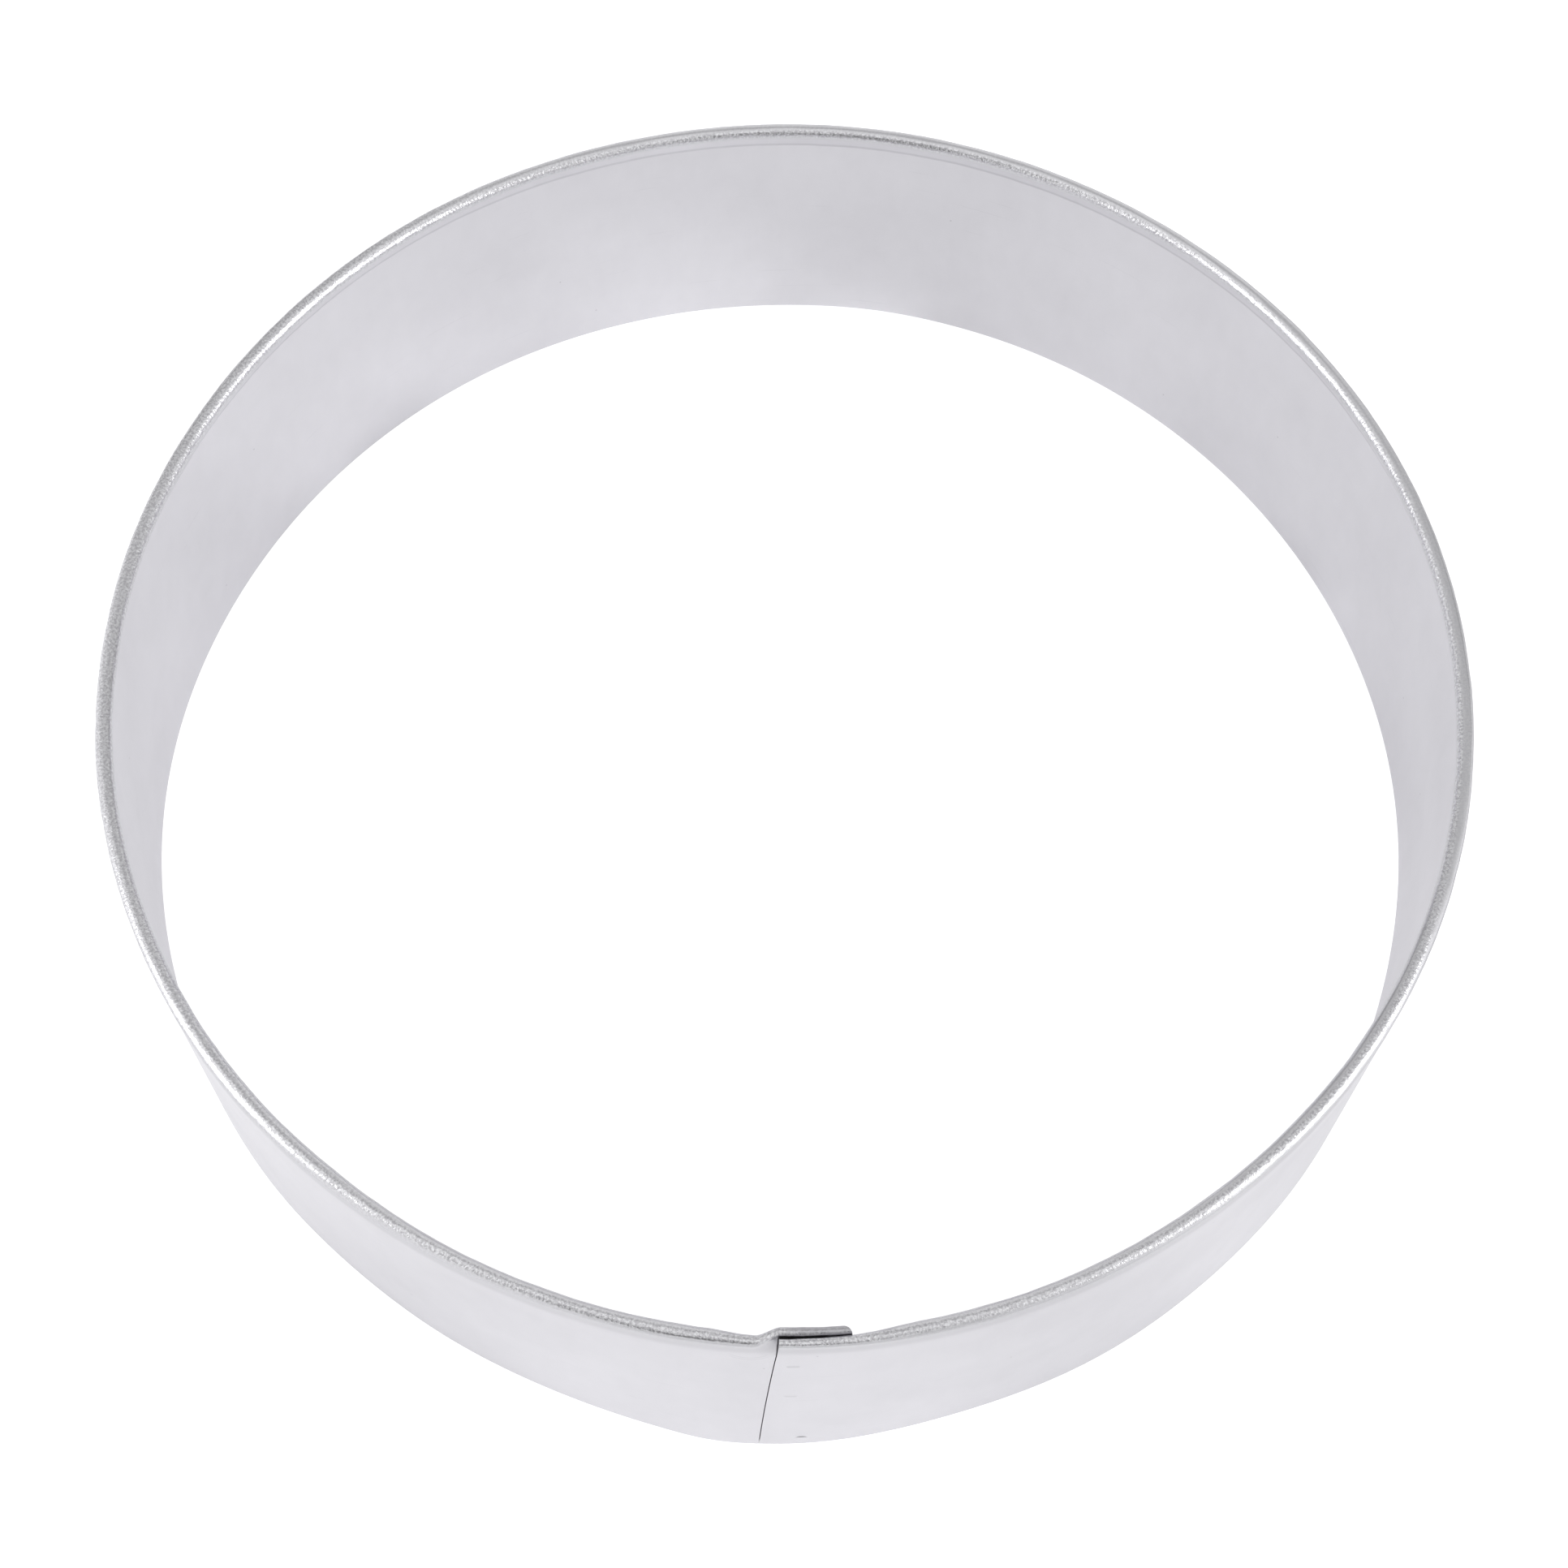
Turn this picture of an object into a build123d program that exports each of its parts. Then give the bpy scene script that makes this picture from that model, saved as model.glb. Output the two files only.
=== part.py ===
"""Round biscuit cutter: one strip of thin tinplate, rolled into a ring, hemmed along its top
edge, lapped at the front and held there by three spot welds.

The origin is the ring's centre on the plane of its cutting edge. +Z is up and -Y is the front,
where the lap is. Places along the rim are arc lengths on the outer face from the front point,
positive counterclockwise seen from above. All sizes are in millimetres."""

from build123d import *
from math import asin, atan2, cos, degrees, hypot, pi, radians, sin
import os

# Ring and sheet
outer_diameter = 101.6
height = 25.4
sheet = 0.28

# Hem: the hollow fold along the top edge
hem_width = 1.25
hem_depth = 2.3
hem_nip = 0.05
hem_proud = 0.05
lean_height = 2.1

# Lap: how far the two strip ends reach past the front point, and the gap between the layers
outer_end_top = 0.49
outer_end_bottom = -0.86
inner_end = 5.35
lap_gap = 0.05
hem_gap = 0.19
end_trim = 1.2

# Opening of the outer hem beside the inner strip end: flat, then half open, then full
opening_start = 0.15
half_open_width = 1.12
half_opening_length = 2.7
full_opening_length = 5.0

# Joggle: the inward step that takes the inner layer behind the outer one
end_clearance = 0.15
joggle_top_length = 2.0
joggle_bottom_length = 1.15
pinched_width = 0.86
pinch_length = 2.4
pinch_reach = 0.75

# Spot welds
weld_diameter = 1.2
weld_dent = 0.04
weld_margin = 0.1
weld_edge_distance = 0.8
weld_overrun = 1.0
middle_weld_rise_share = 0.61
weld_reach_shares = {"upper": 0.26, "middle": 0.24, "lower": 0.41}

# Worked out from the sizes above
outer_radius = outer_diameter / 2
wall_radius = outer_radius - hem_proud
front_angle = -90.0
flat_width = 2 * sheet + hem_nip
inner_face_shift = sheet + lap_gap
inner_hem_shift = flat_width + hem_gap
hem_foot = height - hem_depth
lean_foot = hem_foot - lean_height
weld_radius = weld_diameter / 2

opening_from = inner_end + opening_start
half_open_at = opening_from + half_opening_length
ring_from = half_open_at + full_opening_length

top_joggle_to = outer_end_top - end_clearance
top_joggle_from = top_joggle_to - joggle_top_length
bottom_joggle_to = outer_end_bottom - end_clearance
bottom_joggle_from = bottom_joggle_to - joggle_bottom_length
pinched_at = min(top_joggle_from, bottom_joggle_from) - pinch_reach
ring_to = pinched_at - pinch_length


def turn_at(along):
    """The angle about Z, in degrees, of a place along the rim."""
    return front_angle + degrees(along / outer_radius)


def radial(along):
    """The unit vector from the axis to a place along the rim."""
    turn = radians(turn_at(along))
    return Vector(cos(turn), sin(turn), 0)


def tangent(along):
    """The unit vector that points counterclockwise along the rim."""
    turn = radians(turn_at(along))
    return Vector(-sin(turn), cos(turn), 0)


def between(along, start, end, first, last):
    """A value that goes evenly from first to last between two places, and is steady outside them."""
    share = min(max((along - start) / (end - start), 0), 1)
    return first + (last - first) * share


def strip_section(along, bottom_shift, top_shift, width):
    """The strip's cross section on the upright plane at a place along the rim.

    The wall stands straight up to lean_foot, leans to the hem's outer face at hem_foot, and
    folds inward over a half round of the given width. Its foot is shifted inward from the plain
    wall by bottom_shift and its hem from the rim by top_shift. The fold's free leg is tangent
    to the half round and comes back to hem_nip from the wall."""
    wall_bottom = wall_radius - bottom_shift
    wall_top = outer_radius - top_shift
    outer_bend = width / 2
    inner_bend = outer_bend - sheet
    fold_r = wall_top - outer_bend
    fold_z = height - outer_bend
    nip_r = wall_top - sheet - hem_nip
    leg_turn = atan2(nip_r - fold_r, fold_z - hem_foot)
    leg_turn += asin(inner_bend / hypot(nip_r - fold_r, fold_z - hem_foot))

    def on_fold(bend, turn):
        return (fold_r + bend * cos(turn), fold_z + bend * sin(turn))

    wall_side, crown, leg_side = 0, pi / 2, pi + leg_turn
    with BuildLine(Plane((0, 0, 0), x_dir=radial(along), z_dir=-tangent(along))) as outline:
        Polyline(
            (wall_bottom, 0),
            (wall_bottom, lean_foot),
            (wall_top, hem_foot),
            on_fold(outer_bend, wall_side),
        )
        ThreePointArc(
            on_fold(outer_bend, wall_side),
            on_fold(outer_bend, crown),
            on_fold(outer_bend, leg_side),
        )
        Polyline(
            on_fold(outer_bend, leg_side),
            (nip_r - sheet * cos(leg_turn), hem_foot - sheet * sin(leg_turn)),
            (nip_r, hem_foot),
            on_fold(inner_bend, leg_side),
        )
        ThreePointArc(
            on_fold(inner_bend, leg_side),
            on_fold(inner_bend, crown),
            on_fold(inner_bend, wall_side),
        )
        Polyline(
            on_fold(inner_bend, wall_side),
            (wall_top - sheet, hem_foot),
            (wall_bottom - sheet, lean_foot),
            (wall_bottom - sheet, 0),
            (wall_bottom, 0),
        )
    return Face(outline.wire())


def joggle_section(along):
    """The strip's cross section where it steps inward, from the plain ring to the inner layer."""
    bottom = between(along, bottom_joggle_from, bottom_joggle_to, 0, inner_face_shift)
    top = between(along, top_joggle_from, top_joggle_to, 0, inner_hem_shift)
    if along < pinched_at:
        width = between(along, ring_to, pinched_at, hem_width, pinched_width)
    else:
        width = between(along, top_joggle_from, top_joggle_to, pinched_width, flat_width)
    return strip_section(along, bottom, top, width)


def arc_between(start, end):
    """The angle in degrees from one place along the rim to a later one."""
    return degrees((end - start) / outer_radius)


# The outer layer of the lap has a flat hem, and its end is cut a little off upright
cut_place = (outer_end_top + outer_end_bottom) / 2
cut_run = outer_end_top - outer_end_bottom
cut_plane = Plane(
    radial(cut_place) * outer_radius + Vector(0, 0, height / 2),
    x_dir=radial(cut_place),
    z_dir=tangent(cut_place) * height - Vector(0, 0, cut_run),
)
outer_lap_from = outer_end_bottom - end_trim

with BuildPart() as outer_lap:
    revolve(
        strip_section(outer_lap_from, 0, 0, flat_width),
        axis=Axis.Z,
        revolution_arc=arc_between(outer_lap_from, opening_from),
    )
    split(bisect_by=cut_plane, keep=Keep.TOP)

# Past the inner strip end the outer hem opens to its full width
with BuildPart() as opening_hem:
    loft(
        [
            strip_section(opening_from, 0, 0, flat_width),
            strip_section(half_open_at, 0, 0, half_open_width),
            strip_section(ring_from, 0, 0, hem_width),
        ],
        ruled=True,
    )

# The plain ring, most of the way round
circumference = 2 * pi * outer_radius
with BuildPart() as plain_ring:
    revolve(
        strip_section(ring_from, 0, 0, hem_width),
        axis=Axis.Z,
        revolution_arc=arc_between(ring_from, circumference + ring_to),
    )

# Before the lap the hem is pinched, and the strip steps inward by one layer
joggle_stations = sorted(
    {
        ring_to,
        pinched_at,
        bottom_joggle_from,
        bottom_joggle_to,
        top_joggle_from,
        top_joggle_to,
    }
)
with BuildPart() as joggle:
    loft([joggle_section(along) for along in joggle_stations], ruled=True)

# The inner layer of the lap touches the outer one below, and leans inward to clear its hem
with BuildPart() as inner_lap:
    revolve(
        joggle_section(top_joggle_to),
        axis=Axis.Z,
        revolution_arc=arc_between(top_joggle_to, inner_end),
    )

# Each weld is a round nugget through both layers, a little below the sheet on both faces
lower_weld_at = weld_edge_distance + weld_radius
upper_weld_at = lean_foot - weld_margin - weld_radius
weld_heights = {
    "upper": upper_weld_at,
    "middle": lower_weld_at + (upper_weld_at - lower_weld_at) * middle_weld_rise_share,
    "lower": lower_weld_at,
}


def weld_plane(name, depth):
    """The plane across a weld, at a depth below the wall's outer face, that looks outward."""
    along = inner_end * weld_reach_shares[name]
    centre = radial(along) * (wall_radius - depth) + Vector(0, 0, weld_heights[name])
    return Plane(centre, x_dir=tangent(along), z_dir=radial(along))


lap_thickness = inner_face_shift + sheet

with BuildPart() as tinplate_band:
    add([outer_lap.part, opening_hem.part, plain_ring.part, joggle.part, inner_lap.part])
    for name in weld_heights:
        with BuildSketch(weld_plane(name, lap_thickness + weld_overrun)):
            Circle(weld_radius)
        extrude(amount=lap_thickness + 2 * weld_overrun, mode=Mode.SUBTRACT)
tinplate_band.part.label = "tinplate_band"

os.makedirs("parts", exist_ok=True)
export_step(tinplate_band.part, "parts/tinplate_band.step")

for name in weld_heights:
    with BuildPart() as nugget:
        with BuildSketch(weld_plane(name, lap_thickness - weld_dent)):
            Circle(weld_radius)
        extrude(amount=lap_thickness - 2 * weld_dent)
    nugget.part.label = f"spot_weld_{name}"
    export_step(nugget.part, f"parts/spot_weld_{name}.step")
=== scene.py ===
"""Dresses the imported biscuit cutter: the tinplate strip with its rolled hem, lap and springback,
the three spot welds, and a pale sweep with soft light and the camera.

Lengths along the strip are arc lengths on the outer face from the front point, positive
counterclockwise seen from above. The strip starts at the outer end of the lap and runs once
round to the inner end."""

import bpy
import numpy as np
from bpy.props import FloatProperty, FloatVectorProperty, IntProperty, PointerProperty
from mathutils import Matrix, Vector


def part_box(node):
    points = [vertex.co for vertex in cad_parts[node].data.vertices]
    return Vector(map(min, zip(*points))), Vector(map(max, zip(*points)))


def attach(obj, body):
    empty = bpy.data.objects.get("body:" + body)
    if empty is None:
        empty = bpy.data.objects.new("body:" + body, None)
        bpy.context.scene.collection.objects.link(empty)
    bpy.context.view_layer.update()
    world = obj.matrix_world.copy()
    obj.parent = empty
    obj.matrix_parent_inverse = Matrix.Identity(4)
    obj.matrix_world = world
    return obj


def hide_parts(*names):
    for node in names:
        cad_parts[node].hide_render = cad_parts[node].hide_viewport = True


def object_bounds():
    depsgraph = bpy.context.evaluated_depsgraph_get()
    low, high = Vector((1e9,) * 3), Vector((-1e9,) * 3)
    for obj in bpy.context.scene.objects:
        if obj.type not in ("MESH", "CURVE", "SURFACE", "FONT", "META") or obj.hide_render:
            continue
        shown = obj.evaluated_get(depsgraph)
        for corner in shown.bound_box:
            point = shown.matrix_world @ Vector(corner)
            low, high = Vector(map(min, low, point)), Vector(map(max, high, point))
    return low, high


bl_info = {
    "name": "Biscuit cutter dressing",
    "version": (1, 0, 0),
    "blender": (4, 5, 0),
    "location": "View3D > Sidebar > Cutter",
    "description": "Makes the tinplate strip, spot welds and stage of a round biscuit cutter",
    "category": "Object",
}

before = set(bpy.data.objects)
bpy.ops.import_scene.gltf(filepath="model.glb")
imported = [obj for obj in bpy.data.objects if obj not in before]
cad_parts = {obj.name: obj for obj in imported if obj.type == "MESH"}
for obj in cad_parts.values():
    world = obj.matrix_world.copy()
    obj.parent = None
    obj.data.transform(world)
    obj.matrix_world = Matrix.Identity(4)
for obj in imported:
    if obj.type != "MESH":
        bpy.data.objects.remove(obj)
cad_low, cad_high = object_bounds()

MM = 0.001
HEIGHT = cad_high.z - cad_low.z
RADIUS = (cad_high.x - cad_low.x) / 2
ROUND = 2 * np.pi * RADIUS
FRONT = -np.pi / 2
SHARP_ANGLE = np.radians(50)


def linear(hex_colour):
    """The linear RGB of an sRGB colour written as six hex digits."""
    parts = np.array([int(hex_colour[i : i + 2], 16) for i in (0, 2, 4)]) / 255
    low, high = parts / 12.92, ((parts + 0.055) / 1.055) ** 2.4
    return tuple(np.where(parts <= 0.04045, low, high).tolist())


def length(name, description, millimetres):
    """A length property whose default is given in millimetres."""
    return FloatProperty(
        name=name, description=description, default=millimetres * MM, unit="LENGTH", precision=5
    )


def colour(name, description, hex_colour):
    """A colour property whose default is an sRGB hex value."""
    return FloatVectorProperty(
        name=name, description=description, default=linear(hex_colour), size=3, subtype="COLOR"
    )


class StripSizes(bpy.types.PropertyGroup):
    """Sizes of the strip: the solid part's or within 0.1 mm of them, but for a sharper joggle."""

    sheet: length("Sheet", "Thickness of the tinplate", 0.28)
    proud: length("Hem proud", "How far the hem stands out of the wall below it", 0.05)
    hem_width: length("Hem width", "Width of the hollow hem round most of the rim", 1.25)
    flat_width: length("Flat hem width", "Width of the hem pressed flat at the lap", 0.63)
    pinched_width: length("Pinched width", "Width of the hem just before the joggle", 0.86)
    hem_depth: length("Hem depth", "Depth of the folded part below the rim", 2.3)
    nip: length("Nip", "Gap between the hem's free edge and the wall", 0.05)
    lean: length("Lean", "Height over which the wall leans out to the hem", 2.1)
    lap_gap: length("Lap gap", "Gap between the two layers of the lap", 0.05)
    hem_gap: length("Hem gap", "Gap between the two hems at the lap", 0.14)
    end_top: length("Outer end, top", "Where the outer end of the strip is at the rim", 0.42)
    end_bottom: length("Outer end, bottom", "Where the outer end is at the cutting edge", -0.86)
    inner_end: length("Inner end", "Where the inner end of the strip is", 5.35)
    corner: length("Inner corner", "Radius of the inner hem's end seen from above", 0.8)
    step: length("Joggle step", "Length of the step beside the outer end, at the wall", 0.06)
    hem_step: length("Hem step", "Length of the step beside the outer end, at the hem", 1.74)
    weld_ring: length("Weld ring", "Height of the ring pressed up round a spot weld", 0.004)
    weld_ridge: length("Weld ridge", "Height of the short ridge across the lowest weld", 0.07)


class FinishColours(bpy.types.PropertyGroup):
    """Colours of the finishes."""

    tin: colour("Tin", "Reflectance of the satin tin coat", "ECEBEF")
    tin_shade: colour("Tin shade", "Reflectance where the coat is a little greyer", "E3E2E6")
    # Also the colour of the painted shade under the rim, along the hem's free edge and in two
    # creases beside the joggle
    flaw_and_shade: colour("Flaw", "Reflectance of pits, scratches and dull places in the coat", "AFAEB2")
    sheared: colour("Sheared edge", "Reflectance of the bare steel at a cut edge", "B4B4B7")
    weld_mark: colour("Weld mark", "Reflectance of the pressed weld mark", "EAE9ED")
    # Painted shade: the dark streak along each weld's ridge
    ridge_shade: colour("Burnt mark", "Reflectance of the dark streak across a weld", "A8A7AB")
    crazed: colour("Crazed coat", "Reflectance of the darker specks over the fold", "C8C7CB")
    burnished: colour("Burnished coat", "Reflectance of the coat between the specks", "E5E5E8")
    # Painted shade over the inner hem where it is tucked inside the outer one at the lap
    tucked_hem_shade: colour("Scuffed coat", "Reflectance of the dulled inner end of the hem", "B6B5B9")
    floor: colour("Floor", "The pale sweep under the cutter", "CBCBCC")


class StageSizes(bpy.types.PropertyGroup):
    """Camera and light."""

    lens: FloatProperty(
        name="Lens", description="Focal length", default=65.06, unit="CAMERA", min=10
    )
    distance: length("Camera distance", "Distance of the camera from the ring's centre", 232.6)
    rise: FloatProperty(
        name="Camera rise",
        description="Angle of the camera above the floor",
        default=np.radians(64.94),
        subtype="ANGLE",
    )
    tilt: FloatProperty(
        name="Camera tilt",
        description="Turn of the camera about its own sideways axis, away from the centre",
        default=np.radians(-0.612),
        subtype="ANGLE",
    )
    roll: FloatProperty(
        name="Camera roll",
        description="Turn of the camera about its line of sight",
        default=np.radians(-1.123),
        subtype="ANGLE",
    )
    lamp_width: length("Lamp width", "Width of each side lamp", 330)
    lamp_height: length("Lamp height", "Height of each side lamp", 740)
    lamp_distance: length("Lamp distance", "Distance of each side lamp", 800)
    lamp_power: FloatProperty(
        name="Lamp power", description="Power of each side lamp", default=2.2, unit="POWER"
    )
    seed: IntProperty(name="Seed", description="Seed of the small irregularities", default=7)


def smooth(value):
    """The step 3x^2 - 2x^3, level at both ends, of values held between 0 and 1."""
    held = np.clip(value, 0, 1)
    return held * held * (3 - 2 * held)


def ease(place, start, end, first, last):
    """Goes smoothly from first to last while place goes from start to end."""
    return first + (last - first) * smooth((place - start) / (end - start))


def bump_at(place, centre, spread):
    """A bell curve exp(-(x/spread)^2) of the shortest way round the ring from centre."""
    gap = (place - centre + ROUND / 2) % ROUND - ROUND / 2
    return np.exp(-((gap / spread) ** 2))


def on_ring(radius, along, height):
    """Points at a radius from the axis, an arc length along the strip and a height."""
    turn = along / RADIUS + FRONT
    return np.stack([radius * np.cos(turn), radius * np.sin(turn), height], axis=-1)


def strip_places(sizes):
    """Where the columns stand along the strip.

    They are 0.44 mm apart round the ring, 0.13 mm to 0.15 mm at the lap, and closer still at
    the joggle and at the two ends."""
    lap_to, ring_to = 8.6 * MM, ROUND - 6.0 * MM
    ring_columns = 700
    outer_end = np.array([0.0, 0.03, 0.07, 0.12, 0.18, 0.25, 0.33, 0.42, 0.52]) * MM
    lap = np.arange(0.63, lap_to / MM, 0.13) * MM
    ring = np.linspace(lap_to, ring_to, ring_columns)
    bend = ROUND + np.arange(-5.85, -1.75, 0.13) * MM
    joggle = ROUND + np.arange(-1.7, -0.2, 0.06) * MM
    joggle_foot = ROUND + np.arange(-0.2, 0.1, 0.015) * MM
    inner_lap = ROUND + np.arange(0.15 * MM, sizes.inner_end - 0.9 * MM, 0.15 * MM)
    rounded = 0.85 * MM
    closing_shares = np.array([1.0, 0.86, 0.72, 0.59, 0.47, 0.36, 0.26, 0.17, 0.1, 0.04, 0.0])
    inner_end = ROUND + sizes.inner_end - closing_shares * rounded
    return np.concatenate([outer_end, lap, ring, bend, joggle, joggle_foot, inner_lap, inner_end])


def slant(share_up, sizes):
    """How far along the strip the outer end lies, from its foot to its top, a little bowed."""
    most_bow = 0.1 * MM
    bow = most_bow * 4 * share_up * (1 - share_up)
    return sizes.end_bottom + (sizes.end_top - sizes.end_bottom) * share_up - bow


def springback(along, share_up):
    """How far the wall stands out of true round.

    The rolled strip is flatter near its two ends, so it swells at the lap and draws in on
    both sides of it. Each row is one swelling in mm: its middle along the strip, the spread of
    its bell, and its height at the cutting edge and at the rim. A point between the two takes
    the share of its height, because the wall stays straight."""
    swellings = (
        (0.0, 11.0, 0.82, 0.04),
        (-4.5, 3.2, 0.13, 0.0),
        (-14.0, 9.0, 0.0, -0.10),
        (-29.0, 14.0, -0.62, -0.24),
        (-27.0, 9.0, 0.26, 0.0),
        (-80.0, 17.0, 0.27, 0.16),
        (-80.0, 7.0, 0.0, -0.08),
        (-53.0, 7.0, -0.13, 0.0),
        (-112.0, 24.0, 0.02, -0.12),
        (-147.0, 16.0, -0.08, -0.16),
        (140.0, 20.0, 0.14, 0.0),
        (118.0, 20.0, 0.06, 0.10),
        (95.0, 22.0, 0.0, 0.06),
        (62.0, 17.0, -0.24, 0.02),
        (34.0, 16.0, -0.10, -0.16),
        (25.0, 9.0, 0.17, 0.0),
        (47.0, 8.0, 0.08, 0.0),
        (152.0, 6.0, 0.08, 0.0),
    )
    total = 0
    for middle, spread, at_edge, at_rim in swellings:
        height = at_edge + (at_rim - at_edge) * share_up
        total = total + height * MM * bump_at(along, middle * MM, spread * MM)
    return total


def hem_widths(place, sizes):
    """The hem's width at each place along the strip.

    It springs open a little past the outer end, opens past the inner one and slowly reaches
    its full width. Before the joggle it tightens, and there it is pinched and pressed flat.
    Each row is a stretch over which the width goes smoothly to a new one."""
    lap_width = sizes.flat_width + 0.02 * MM
    sprung_width = lap_width + 0.08 * MM
    opened_width = sizes.hem_width - 0.14 * MM
    tight_width = sizes.hem_width - 0.13 * MM
    stretches = (
        (0, 5.2 * MM, sprung_width),
        (5.2 * MM, 10.2 * MM, opened_width),
        (14 * MM, 45 * MM, sizes.hem_width),
        (ROUND - 36 * MM, ROUND - 22 * MM, tight_width),
        (ROUND - 4.8 * MM, ROUND - 1.9 * MM, sizes.pinched_width),
        (ROUND - 1.9 * MM, ROUND - 0.1 * MM, sizes.flat_width),
    )
    width, before = lap_width, lap_width
    for start, end, after in stretches:
        width = width + ease(place, start, end, 0, after - before)
        before = after
    return width


def joggle_shifts(place, sizes):
    """How far inward the strip steps behind its outer end: its foot, its stem and its hem.

    The inner hem is drawn in a little less towards its end."""
    past = place - ROUND
    wall_shift = sizes.sheet + sizes.lap_gap
    hem_shift = sizes.flat_width + sizes.hem_gap
    step_to, hem_step_to = -0.015 * MM, 0.08 * MM
    foot = ease(past, step_to - sizes.step, step_to, 0, wall_shift)
    stem = ease(past, step_to - sizes.step, step_to, 0, hem_shift)
    hem = ease(past, step_to - sizes.hem_step, hem_step_to, 0, hem_shift)
    relief_from, relief = 0.4 * MM, 0.02 * MM
    relieved = ease(past, relief_from, sizes.inner_end, 0, relief)
    return foot, stem - relieved, hem - relieved


def outer_face_line(place, sizes):
    """The strip's outer face at each place along it, as radius and height.

    From the cutting edge the line goes up the wall, leans out to the hem, goes over a half
    round of the hem's width, and comes down a straight leg to the free edge. Each row is one
    share of the way, each column one place."""
    foot_shift, stem_shift, hem_shift = joggle_shifts(place, sizes)
    foot = HEIGHT - sizes.hem_depth
    wall_r = (RADIUS - sizes.proud - foot_shift)[None, :]
    stem_r = (RADIUS - stem_shift)[None, :]
    hem_r = (RADIUS - hem_shift)[None, :]
    bend = (hem_widths(place, sizes) / 2)[None, :]
    fold_r, fold_z = hem_r - bend, HEIGHT - bend
    nip_r = hem_r - sizes.sheet - sizes.nip
    reach = np.hypot(nip_r - fold_r, fold_z - foot)
    leg_turn = np.arctan2(nip_r - fold_r, fold_z - foot)
    leg_turn = leg_turn + np.arcsin((bend - sizes.sheet) / reach)

    wall_share = np.array([0, 0.03, 0.12, 0.25, 0.4, 0.55, 0.7, 0.84, 0.94])[:, None]
    lean_share = np.linspace(0, 1, 10)[:, None]
    stem_share = np.array([0.3, 0.6, 0.85])[:, None]
    turn_share = np.linspace(0, 1, 15)[:, None]
    leg_share = np.array([0.12, 0.3, 0.5, 0.75, 1.0])[:, None]
    lean_from = foot - sizes.lean
    turns = turn_share * (np.pi + leg_turn)
    leg_top_r = fold_r + bend * np.cos(np.pi + leg_turn)
    leg_top_z = fold_z + bend * np.sin(np.pi + leg_turn)
    leg_end_r = nip_r - sizes.sheet * np.cos(leg_turn)
    leg_end_z = foot - sizes.sheet * np.sin(leg_turn)
    flat = np.ones_like(wall_r)
    radius = np.concatenate(
        [
            wall_r + 0 * wall_share,
            wall_r + (stem_r - wall_r) * smooth(lean_share),
            stem_r + (hem_r - stem_r) * smooth(stem_share),
            fold_r + bend * np.cos(turns),
            leg_top_r + (leg_end_r - leg_top_r) * leg_share,
        ]
    )
    height = np.concatenate(
        [
            lean_from * wall_share * flat,
            (lean_from + sizes.lean * lean_share) * flat,
            foot + (fold_z - foot) * stem_share,
            fold_z + bend * np.sin(turns),
            leg_top_z + (leg_end_z - leg_top_z) * leg_share,
        ]
    )
    return radius, height


def hem_wander(place, seed):
    """How uneven the rolled hem is along its length: a sum of sines, each with its length and
    its swing in mm, which swell and fade over 3.7 of their waves."""
    waves_in_swell = 3.7
    rng = np.random.default_rng(seed)
    wander = np.zeros(len(place))
    for wave_length, swing in ((9.0, 0.012), (4.3, 0.010), (2.1, 0.007), (1.2, 0.005)):
        shift = rng.uniform(0, 2 * np.pi, 2)
        wave = np.sin(2 * np.pi * place / (wave_length * MM) + shift[0])
        slow = np.sin(2 * np.pi * place / (wave_length * waves_in_swell * MM) + shift[1])
        wander += swing * MM * wave * (0.6 + 0.4 * slow)
    return wander


def with_ends(place, radius, height, sizes):
    """Where each point lies along the strip once its two ends have their shapes.

    The outer end is cut a little off upright, and the joggle follows it. The end of the inner
    hem is rounded: it falls back by the corner's radius times 1 - sqrt(1 - x^1.7), where x
    goes from 0 to 1 across the flat hem."""
    past = place - ROUND
    at_outer_end = ease(place, 0, 3 * MM, 1, 0)
    at_joggle = ease(past, -6 * MM, -2 * MM, 0, 1) * ease(past, 1 * MM, 4 * MM, 1, 0)
    along = place + slant(height / HEIGHT, sizes) * (at_outer_end + at_joggle)

    on_hem = height > HEIGHT - sizes.hem_depth - MM
    hem_outside = RADIUS - sizes.flat_width - sizes.hem_gap
    most_inward, roundness = 0.995, 1.7
    inward = np.clip((hem_outside - radius) / sizes.flat_width, 0, most_inward) * on_hem
    rounding = sizes.corner * (1 - np.sqrt(1 - inward**roundness))
    rounded_from = sizes.inner_end - 1.8 * MM
    return along - rounding * ease(past, rounded_from, sizes.inner_end, 0, 1)


def strip_faces(rows, columns):
    """The quads of the strip, and for each whether it is a cut edge.

    The loops run up the outer skin's rows and back down the inner skin's. The cut edges are
    the faces between the two skins, along both long edges and at both ends."""
    loops = 2 * rows
    index = np.arange(loops * columns).reshape(loops, columns)
    upper = np.roll(index, -1, axis=0)
    sides = np.stack([index[:, :-1], index[:, 1:], upper[:, 1:], upper[:, :-1]], -1)
    back = index[::-1][:rows]
    first = np.stack([index[: rows - 1, 0], index[1:rows, 0], back[1:, 0], back[:-1, 0]], -1)
    last = np.stack([index[1:rows, -1], index[: rows - 1, -1], back[:-1, -1], back[1:, -1]], -1)
    faces = np.concatenate([sides.reshape(-1, 4), first, last])

    along_edges = np.zeros((loops, columns - 1), dtype=np.int32)
    along_edges[[rows - 1, loops - 1]] = 1
    cut = np.ones(len(faces), dtype=np.int32)
    cut[: along_edges.size] = along_edges.ravel()
    return faces, cut


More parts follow.
